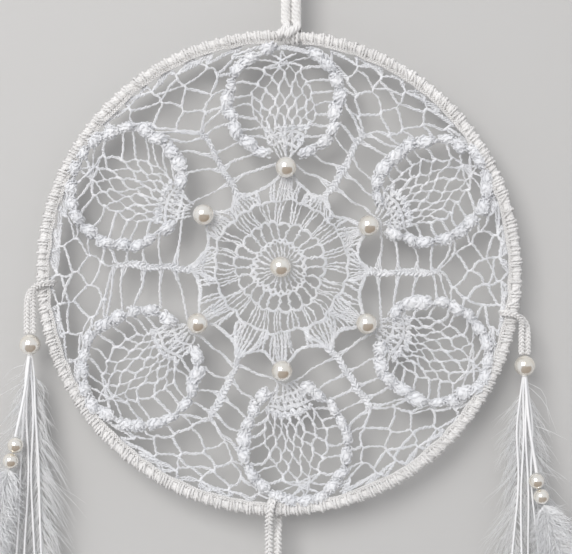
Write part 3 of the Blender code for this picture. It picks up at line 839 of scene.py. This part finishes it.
def outer_arc(threads, leaf, hand, apex):
    """The arc of chain from a leaf's pearl to the root of a spoke, and its stitches to the middle."""
    start = leaf.place(hand * 2.2 * MM, -2.6 * MM)
    toward = unit(HOOP_CENTRE + HUB_PLACE - (start + apex) / 2)
    path = smooth([start, (start + apex) / 2 + toward * 2.6 * MM, apex], 2.0 * MM)
    threads.braid(path, 0.5 * MM, 2.8 * MM, 0.2 * MM)
    for share in (0.24, 0.36, 0.62, 0.74):
        top = path[int(share * (len(path) - 1))]
        turn = turn_of(top - HOOP_CENTRE - HUB_PLACE)
        threads.post(hub_point(turn + stray(1.2), OUTER_RING_REACH), top)


def make_spoke(number, leaves, finish):
    """One spoke, its rungs to the leaves beside it and the open net between it and the rim."""
    threads = Threads()
    turn = SPOKE_TURNS[number]
    right = leaves[number]
    left = leaves[(number + 1) % len(leaves)]
    reaches = np.linspace(SPOKE_REACH - 1.0 * MM, SPOKE_SPLIT, 9)
    line = [polar(turn + stray(0.3), reach, 0.2 * MM) for reach in reaches]
    threads.braid(line, 1.25 * MM, 5.2 * MM, 0.24 * MM)
    threads.braid(line, 0.7 * MM, 4.1 * MM, 0.22 * MM)
    for reach in RUNG_REACHES:
        at = min(reach, SPOKE_SPLIT)
        for hand, leaf in ((1.0, left), (-1.0, right)):
            foot = polar(turn + hand * math.degrees(1.2 * MM / at), at)
            end = leaf.flank(-hand, reach + rng.normal(0.8 * MM, 0.7 * MM), 1.2 * MM)
            stout_chain(threads, foot, end)
            for way in (-1.1 * MM, 1.1 * MM):
                side = polar(turn + hand * math.degrees(0.8 * MM / at), at + way)
                threads.tube(smooth(bowed(side, foot * 0.72 + end * 0.28), 0.6 * MM), 0.24 * MM)
    rows = [gap_row(turn, left, right, *row) for row in zip(GAP_REACHES, GAP_COUNTS)]
    for point in rows[0]:
        stout_chain(threads, polar(turn, SPOKE_SPLIT), point)
    for low, high in zip(rows[:-2], rows[1:-1]):
        net_between(threads, low, high, HOOP_CENTRE, stout_chain)
    net_between(threads, rows[-2], rows[-1], HOOP_CENTRE, cluster)
    for row, reach in zip(rows[:-1], GAP_REACHES):
        for point in row:
            knot(threads, point, HOOP_CENTRE)
        for hand, leaf, point in ((1.0, left, row[-1]), (-1.0, right, row[0])):
            stout_chain(threads, point, leaf.flank(-hand, reach, 1.0 * MM))
    threads.make(f"spoke_{number + 1}", "hoop", finish, warp=hand_warp)


def gap_row(turn, left, right, reach, count):
    """A row of points across the gap between two leaves, at one reach."""
    within = reach < NET_REACH
    ends = []
    for leaf, hand in ((right, 1.0), (left, -1.0)):
        edge = leaf.turn + hand * 5.0
        if within:
            edge = turn_of(leaf.flank(hand, reach, 1.5 * MM) - HOOP_CENTRE)
        ends.append((edge - turn + 180.0) % 360.0 - 180.0)
    inset = 0.5 / count if within else 0.0
    jitter = 0.35 * MM if within else 0.0
    row = []
    for share in np.linspace(inset, 1.0 - inset, count):
        where = turn + ends[0] + (ends[1] - ends[0]) * share
        row.append(polar(where + stray(0.35), reach + stray(1.0) * jitter))
    return row


# ---- Pearls ----


def make_pearl(node, radius, axis, body, finish):
    """A round bead with a thread hole, in place of the frame's own."""
    start = math.asin(BORE_RADIUS / radius)
    angle = np.linspace(start, math.pi - start, PEARL_ROWS)[:, None, None]
    axis = unit(np.asarray(axis, float))
    first = unit(np.cross(axis, BACK))
    circle = wound(first, np.cross(axis, first), np.arange(PEARL_SIDES) * math.tau / PEARL_SIDES)
    mouth = circle * (BORE_RADIUS / radius * 0.8)
    depth = axis * math.cos(start) * 0.98
    skin = np.cos(angle) * axis + np.sin(angle) * circle
    rings = np.vstack(((mouth + depth)[None], skin, (mouth - depth)[None]))
    points = rings.reshape(-1, 3) * radius + box_centre(node)
    rows = (np.arange(len(rings)) * PEARL_SIDES)[:, None]
    here = rows + np.arange(PEARL_SIDES)
    there = rows + (np.arange(PEARL_SIDES) + 1) % PEARL_SIDES
    quads = np.stack((here, there, np.roll(there, -1, axis=0), np.roll(here, -1, axis=0)), axis=-1)
    add_quads(f"nacre_{node}", points, quads.reshape(-1, 4), body, finish, (node,))


def make_pearls(finish):
    """Every bead of the object."""
    make_pearl("pearl_centre", PEARL_RADIUS, (1.0, 0.0, 0.0), "hoop", finish)
    for number, turn in enumerate(MOTIF_PEARL_TURNS, 1):
        angle = math.radians(turn)
        across = (-math.sin(angle), 0.0, math.cos(angle))
        make_pearl(f"pearl_motif_{number}", PEARL_RADIUS, across, "hoop", finish)
    for side in ("left", "right", "lower"):
        make_pearl(f"{side}_pearl", PEARL_RADIUS, (0.0, 0.0, 1.0), f"{side}_strap", finish)
        for name in ("upper", "lower"):
            make_pearl(f"{side}_bead_{name}", BEAD_RADIUS, (0.0, 0.0, 1.0), f"{side}_drop", finish)


# ---- Hanging loop and straps ----


def make_hanger(finish):
    """The doubled hanging cord and its eye."""
    half = HANGER_SPACING / 2
    right = [
        (half, HANGER_END),
        (half, HANGER_END + 10.0 * MM),
        (half, -38.0 * MM),
        (half + 1.0 * MM, -31.0 * MM),
        (EYE_HALF_WIDTH * 0.72, -22.0 * MM),
        (EYE_HALF_WIDTH, -11.0 * MM),
        (EYE_HALF_WIDTH * 0.72, -1.6 * MM),
    ]
    route = right + [(0.0, HANGER_RADIUS)] + [(-x, z) for x, z in reversed(right)]
    path = smooth([(x, 0.0, z) for x, z in route], 1.5 * MM)
    threads = Threads()
    wound_cord(threads, path, HANGER_RADIUS * 1.1, 0.5 * MM)
    cord = threads.make("hanging_cord", None, finish, ("hanger_loop",))
    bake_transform(cord)


def wound_cord(threads, path, radius, ply):
    """A cord of strands laid together, each twisted from two threads, about a soft core."""
    dense = smooth(path, CORD_STEP)
    across, out = carried_frame(dense)
    along = np.arange(len(dense)) * CORD_STEP
    for strand in range(CORD_STRANDS):
        phase = math.tau * (along / (radius * 6.0) + strand / CORD_STRANDS)
        line = dense + wound(across, out, phase) * (radius - 1.5 * ply)
        for thread in (0.0, math.pi):
            roll = math.tau * along / (ply * 6.5) + thread
            threads.tube(line + wound(across, out, roll) * ply * 0.6, ply, reference=out, sides=5)
    threads.tube(dense, radius * 0.78, reference=out, sides=8)


def make_hitch(finish):
    """The turns of the hanging cord round the rim, and the two legs that come down to them."""
    threads = Threads()
    start = HITCH_TURN - HITCH_WIDTH / 2
    rim_helix(threads, start, HITCH_WIDTH, 1.9 * MM, RIM_RADIUS + 0.95 * MM, 0.5 * MM)
    rim_helix(threads, start + 0.2, HITCH_WIDTH - 0.6, 1.5 * MM, RIM_RADIUS + 0.75 * MM, 0.42 * MM)
    half = HANGER_SPACING / 2 / MM
    top = HANGER_END / MM + 0.4
    for places in (
        ((-half, 0.0, top), (-half, -2.0, -61.0), (-3.4, -4.1, -62.8), (-5.6, -4.2, -64.6)),
        ((half, 0.0, top), (half, -2.4, -61.0), (-0.2, -4.3, -62.8), (-2.6, -4.3, -64.8)),
    ):
        wound_cord(threads, smooth(np.array(places) * MM, 0.8 * MM), 1.85 * MM, 0.5 * MM)
    threads.make("hitch_turns", "hitch", finish, ("hanger_hitch",))


def strap_columns(threads, path, half_width, pitch, ply):
    """Crochet stitches along a strap's line."""
    threads.braid(path, half_width, pitch, ply, carried_frame)
    threads.tube(smooth(path, 1.0 * MM), half_width * 0.55, sides=6, tip=1.0)


def make_side_strap(side, finish):
    """A crocheted cord that comes up beside the hoop, goes over it, back behind it and down."""
    turn, drop, outward = SIDE_STRAPS[side]
    places = (
        (3.8, -0.3, -drop / MM),
        (3.8, -0.4, -8.0),
        (3.7, -1.4, -4.2),
        (2.9, -3.5, -1.4),
        (0.0, -4.6, 0.4),
        (-3.3, -3.3, 0.9),
        (-4.7, 0.0, 0.8),
        (-3.3, 3.3, 0.4),
        (0.0, 4.6, 0.0),
        (3.6, 4.2, -0.9),
        (5.9, 2.2, -3.6),
        (6.4, 0.5, -8.0),
        (6.4, 0.0, -drop / MM),
    )
    catch = polar(turn, RIM_LINE_RADIUS)
    path = [catch + np.array((outward * x, y, z)) * MM for x, y, z in places]
    threads = Threads()
    strap_columns(threads, path, 0.95 * MM, 4.6 * MM, 0.34 * MM)
    threads.make(f"{side}_strap_cord", f"{side}_strap", finish, (f"{side}_strap",))


def make_lower_strap(finish):
    """The stouter crocheted cord that hangs from the bottom of the hoop."""
    turn, drop, spacing = LOWER_STRAP
    half = spacing / 2 / MM
    places = (
        (-half, 0.0, -drop / MM),
        (-half, -0.6, -10.0),
        (-half, -3.0, -5.0),
        (-1.5, -4.4, 0.0),
        (-0.8, -3.3, 3.2),
        (0.0, 0.0, 4.5),
        (0.8, 3.3, 3.2),
        (1.5, 4.4, 0.0),
        (half, 3.0, -5.0),
        (half, 0.6, -10.0),
        (half, 0.0, -drop / MM),
    )
    catch = polar(turn, RIM_LINE_RADIUS)
    path = [catch + np.array(place) * MM for place in places]
    threads = Threads()
    strap_columns(threads, path, 1.3 * MM, 5.4 * MM, 0.42 * MM)
    threads.make("lower_strap_cord", "lower_strap", finish, ("lower_strap",))


# ---- Strands, strings and feathers ----


def satin_cord(name, route, body, finish, radius):
    """A strand of satin thread along a route, in place of the node of its name."""
    path = smooth(route, 3.5 * MM)
    curve = bpy.data.curves.new(f"satin_{name}", "CURVE")
    curve.dimensions = "3D"
    curve.bevel_depth = radius
    curve.bevel_resolution = 3
    curve.use_fill_caps = True
    spline = curve.splines.new("POLY")
    spline.points.add(len(path) - 1)
    for spline_point, point in zip(spline.points, path, strict=True):
        spline_point.co = (*point, 1.0)
    spline.use_smooth = True
    piece = add_piece(f"satin_{name}", curve, body, finish, (name,))


def make_strands(side, outward, finish):
    """The four satin strands of a tassel."""
    centre = box_centre(f"{side}_pearl")
    strands = zip(STRAND_STARTS, STRAND_ENDS, STRAND_LENGTHS, strict=True)
    for number, (start, stop, length) in enumerate(strands, 1):
        top = centre + np.array((outward * start, 0.0, -PEARL_RADIUS - 0.45 * MM))
        end = top + np.array((outward * (stop - start), 0.0, -length))
        bow = top * 0.6 + end * 0.4 + np.array((outward * 0.25 * (start - stop), 0.0, 0.0))
        leave = centre + np.array((outward * start * 0.25, 0.0, 0.3 * MM - PEARL_RADIUS))
        fan = centre + np.array((outward * start * STRAND_NARROWING, 0.0, -PEARL_RADIUS - 8.0 * MM))
        wave = np.array((0.5 * MM * (-1) ** number, 0.0, 0.0))
        route = [leave, fan, (top + bow) / 2 + wave, bow - wave, (bow + end) / 2 + wave, end]
        radius = STRAND_RADIUS * STRAND_NARROWING
        satin_cord(f"{side}_strand_{number}", route, f"{side}_tassel", finish, radius)


def make_string(side, outward, finish):
    """The string that carries the two small beads and the plume."""
    top = box_centre(f"{side}_pearl") + np.array((0.0, STRING_FORWARD, -PEARL_RADIUS - 0.5 * MM))
    end = box_centre(f"{side}_bead_upper") + np.array((0.0, 0.0, BEAD_RADIUS + 0.3 * MM))
    middle = top * 0.55 + end * 0.45 + np.array((-outward * 0.8 * MM, -0.6 * MM, 0.0))
    satin_cord(f"{side}_string", [top, middle, end], f"{side}_drop", finish, STRAND_RADIUS)


def barb(threads, root, way, length, droop, radius, curl=0.0):
    """One barb: a thin tapering hair that leaves its quill along way and then droops."""
    share = np.linspace(0.0, 1.0, 6)[:, None]
    side = np.array((way[2], 0.0, -way[0]))
    path = root + way * (length * share) + np.array((0.0, 0.0, -droop * length)) * share**2
    path = path + side * curl * length * np.sin(share * math.pi * 1.5) * share
    threads.tube(path, radius * (1.0 - 0.75 * share[:, 0]), sides=3, tip=0.6)


def make_feather(side, name, outward, top, tip, back, half_width, finish):
    """A long soft feather: a quill, and hairs that sweep down from both sides of it."""
    centre = box_centre(f"{side}_pearl")
    start = centre + np.array((outward * top[0] * MM, back, top[1] * MM))
    end = centre + np.array((outward * tip[0] * MM, back, tip[1] * MM))
    threads = Threads()
    bend = np.array((outward * 1.5 * MM, 0.0, 0.0))
    quill = smooth([start, start * 0.5 + end * 0.5 + bend, end], 3.0 * MM)
    threads.tube(quill, np.linspace(0.42, 0.12, len(quill)) * MM, sides=5)
    along = unit(end - start)
    aside = aside_of(along)
    for share in np.linspace(0.04, 0.97, BARB_CLUMPS):
        root = quill[int(share * (len(quill) - 1))]
        swell = 0.45 + 0.55 * math.sin(math.pi * min(1.0, share * 1.15)) ** 0.7
        for hand in (-1.0, 1.0):
            clump_spread = rng.uniform(10.0, 44.0)
            clump_length = half_width * swell * rng.uniform(0.9, 2.3)
            clump_curl = stray(0.09)
            for _ in range(CLUMP_BARBS):
                spread = math.radians(clump_spread + stray(3.5))
                way = swung(along, aside * hand, spread)
                way = unit(way + BACK * stray(0.07))
                length = clump_length * rng.uniform(0.75, 1.05)
                curl = clump_curl + stray(0.025)
                barb(threads, root, way, length, rng.uniform(0.05, 0.35), 0.1 * MM, curl)
    node = f"{side}_feather_{name}"
    threads.make(f"down_{node}", f"{side}_tassel", finish, (node,))


def make_wisps(side, outward, finish):
    """The few wild hairs that stand out from below a pearl."""
    centre = box_centre(f"{side}_pearl")
    threads = Threads()
    bundle = centre + np.linspace((0.0, 0.0, 0.2 * MM), (0.0, 0.0, -3.2 * MM), 4)
    bundle[:, 2] -= PEARL_RADIUS
    threads.twist(bundle, 0.6 * MM, 3.6 * MM, 0.36 * MM, 5)
    for _ in range(WISP_COUNT):
        drop = rng.uniform(6.0, 60.0) * MM
        root = centre + np.array((outward * rng.uniform(-1.5, 3.0) * MM, 2.6 * MM, -drop))
        spread = math.radians(rng.uniform(15.0, 75.0)) * rng.choice((1.0, 1.0, -0.6))
        way = np.array((outward * math.sin(spread), stray(0.06), -math.cos(spread)))
        length = rng.uniform(9.0, 21.0) * MM
        droop = rng.uniform(0.0, 0.35)
        barb(threads, root, unit(way), length, droop, 0.16 * MM, stray(0.12))
    threads.make(f"{side}_wisps", f"{side}_tassel", finish)


def make_plume(side, outward, finish):
    """The fluffy plume below the small beads: a quill, short fluff all round it and longer hairs."""
    lean = math.radians(PLUME_LEAN)
    along = np.array((outward * math.sin(lean), 0.0, -math.cos(lean)))
    aside = aside_of(along)
    start = box_centre(f"{side}_bead_lower") + along * (BEAD_RADIUS + 0.3 * MM)
    quill = start + along * (np.linspace(0.0, 1.0, 24) * PLUME_LENGTH)[:, None]
    threads = Threads()
    threads.tube(quill, np.linspace(0.5, 0.15, len(quill)) * MM, sides=5)
    for share in np.linspace(0.0, 0.99, FLUFF_COUNT):
        around = rng.uniform(0.0, math.tau)
        spread = math.radians(rng.uniform(25.0, 75.0))
        way = swung(along, swung(aside, BACK, around), spread)
        length = rng.uniform(0.35, 0.75) * PLUME_HALF_WIDTH
        length *= 0.45 + 0.55 * math.sin(math.pi * share) ** 0.5
        root = start + along * PLUME_LENGTH * share
        droop = rng.uniform(-0.1, 0.3)
        barb(threads, root, way, length, droop, 0.24 * MM, stray(0.25))
    for share in np.linspace(0.0, 0.98, PLUME_ROWS):
        root = start + along * PLUME_LENGTH * share
        swell = 0.5 + 0.5 * math.sin(math.pi * min(1.0, 0.15 + share * 0.9))
        for hand in (-1.0, 1.0):
            spread = math.radians(rng.uniform(18.0, 68.0))
            way = swung(along, aside * hand + BACK * rng.uniform(-0.55, 0.4), spread)
            length = PLUME_HALF_WIDTH * swell * rng.uniform(0.6, 1.2)
            droop = rng.uniform(0.0, 0.3)
            barb(threads, root, unit(way), length, droop, 0.2 * MM, stray(0.2))
    node = f"{side}_plume"
    threads.make(f"down_{node}", f"{side}_drop", finish, (node,))


def make_pendant(side, outward, satin, down):
    """Everything that hangs below a strap's pearl."""
    make_strands(side, outward, satin)
    make_string(side, outward, satin)
    for name, top, tip, back, half_width in FEATHERS:
        make_feather(side, name, outward, top, tip, back, half_width, down)
    make_wisps(side, outward, down)
    make_plume(side, outward, down)


# ---- Stage, light and camera ----


def stage_plane(name, points, material):
    """One flat face of the stage."""
    mesh = bpy.data.meshes.new(name)
    mesh.from_pydata(points, [], [(0, 1, 2, 3)])
    mesh.materials.append(material)
    plane = bpy.data.objects.new(name, mesh)
    bpy.context.collection.objects.link(plane)
    return plane


def wall_material(name, reveals):
    """Pale painted wall that never hides the object.

    It is clear from behind, and, if it reveals, also where a part has swung through it.
    """
    made, shader = new_material(name, WALL_COLOUR, 0.95, {"Specular IOR Level": 0.1})
    tree = made.node_tree
    faces = add_node(tree, "NewGeometry")
    clear = add_node(tree, "BsdfTransparent")
    mix = add_node(tree, "MixShader")
    open_share = (faces, "Backfacing")
    if reveals:
        behind = add_node(tree, "AmbientOcclusion", {"Distance": REVEAL_DEPTH}, inside=True)
        found = add_node(tree, "Math", {1: 0.995}, operation="LESS_THAN")
        either = add_node(tree, "Math", operation="MAXIMUM")
        join(tree, (behind, "AO", found, 0), (found, "Value", either, 0), (*open_share, either, 1))
        open_share = (either, "Value")
    join(
        tree,
        (*open_share, mix, "Fac"),
        (shader, "BSDF", mix, 1),
        (clear, "BSDF", mix, 2),
        (mix, "Shader", tree.nodes["Material Output"], "Surface"),
    )
    return made


def make_stage():
    """A pale wall just behind the object, a second one farther back and a pale floor below."""
    wide = STAGE_WIDTH
    low = VIEW_CENTRE[1] - FLOOR_DROP
    for name, back in (("wall", WALL_BACK), ("far_wall", FAR_WALL_BACK)):
        ends = [(-wide, back, low), (wide, back, low), (wide, back, low + wide), (-wide, back, low + wide)]
        wall = stage_plane(name, ends, wall_material(f"{name}_paint", back == WALL_BACK))
        wall.visible_shadow = back != WALL_BACK
    ends = [(-wide, -wide, low), (wide, -wide, low), (wide, wide, low), (-wide, wide, low)]
    paint, _ = new_material("floor_paint", FLOOR_COLOUR, 0.9, {"Specular IOR Level": 0.1})
    floor = stage_plane("floor", ends, paint)
    floor.visible_glossy = False


def make_lights():
    """A soft window from the upper left and the room's own light."""
    data = bpy.data.lights.new("window", "AREA")
    data.shape = "SQUARE"
    data.size = WINDOW_SIZE
    data.energy = WINDOW_POWER
    data.color = WINDOW_COLOUR
    lamp = bpy.data.objects.new("window", data)
    lamp.location = WINDOW_PLACE
    lamp.rotation_mode = "QUATERNION"
    way = Vector((VIEW_CENTRE[0], 0.0, VIEW_CENTRE[1])) - Vector(WINDOW_PLACE)
    lamp.rotation_quaternion = way.to_track_quat("-Z", "Y")
    bpy.context.collection.objects.link(lamp)
    bpy.context.scene.world = room_world()
    bpy.context.scene.view_settings.view_transform = "Standard"


def room_world():
    """The room's own light: white all round, with a tan floor and furniture low in front."""
    world = bpy.data.worlds.new("room")
    world.use_nodes = True
    tree = world.node_tree
    where = add_node(tree, "TexCoord")
    side = add_node(tree, "VectorMath", {1: FURNITURE_WAY}, operation="DOT_PRODUCT")
    ramp = add_ramp(tree, (0.54, (0.0, 0.0, 0.0)), (0.58, (1.0, 1.0, 1.0)))
    height = add_node(tree, "SeparateXYZ")
    below = add_node(tree, "Math", {1: -0.06}, operation="LESS_THAN")
    both = add_node(tree, "Math", operation="MULTIPLY")
    mix = add_node(tree, "Mix", data_type="RGBA")
    mix.inputs["A"].default_value = ROOM_COLOUR
    mix.inputs["B"].default_value = FURNITURE_COLOUR
    background = tree.nodes["Background"]
    background.inputs["Strength"].default_value = ROOM_STRENGTH
    join(
        tree,
        (where, "Generated", side, 0),
        (side, "Value", ramp, "Fac"),
        (where, "Generated", height, "Vector"),
        (height, "Z", below, 0),
        (ramp, "Color", both, 0),
        (below, "Value", both, 1),
        (both, "Value", mix, "Factor"),
        (mix, "Result", background, "Color"),
    )
    return world


def make_camera():
    """The camera, straight in front of the hoop."""
    data = bpy.data.cameras.new("camera")
    data.sensor_width = SENSOR_WIDTH
    data.lens = SENSOR_WIDTH * CAMERA_DISTANCE / VIEW_WIDTH
    data.clip_start = 0.01
    data.clip_end = 20.0
    camera = bpy.data.objects.new("camera", data)
    camera.location = (VIEW_CENTRE[0], -CAMERA_DISTANCE, VIEW_CENTRE[1])
    camera.rotation_euler = (math.pi / 2, 0.0, 0.0)
    bpy.context.collection.objects.link(camera)
    bpy.context.scene.camera = camera


def main():
    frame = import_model()
    make_camera()
    make_stage()
    make_lights()
    cotton = (cotton_material("cotton_white", (0.80, 0.81, 0.835), (0.88, 0.885, 0.90)), "cotton")
    cream = (cotton_material("cotton_cream", (0.78, 0.77, 0.76), (0.87, 0.86, 0.85)), "cotton")
    pearl = (pearl_material(), "pearl")
    make_rim(cream)
    make_rim_stitches(cream)
    make_rim_chain(cream)
    leaves = [Leaf(number) for number in range(len(LEAF_TURNS))]
    make_medallion(leaves, cotton)
    for number, leaf in enumerate(leaves):
        make_leaf(leaf, number, cotton)
        make_popcorns(leaf, number, cotton)
        make_spoke(number, leaves, cotton)
    make_pearls(pearl)
    satin = (satin_material(), "satin_thread")
    down = (feather_material(), "feather")
    make_hanger(cream)
    make_hitch(cream)
    for side in SIDE_STRAPS:
        make_side_strap(side, cream)
    make_lower_strap(cream)
    for side, outward in (("left", -1.0), ("right", 1.0), ("lower", 1.0)):
        make_pendant(side, outward, satin, down)
    frame["nodes"]["hoop_ring"].data.materials[0] = wire_material()


main()
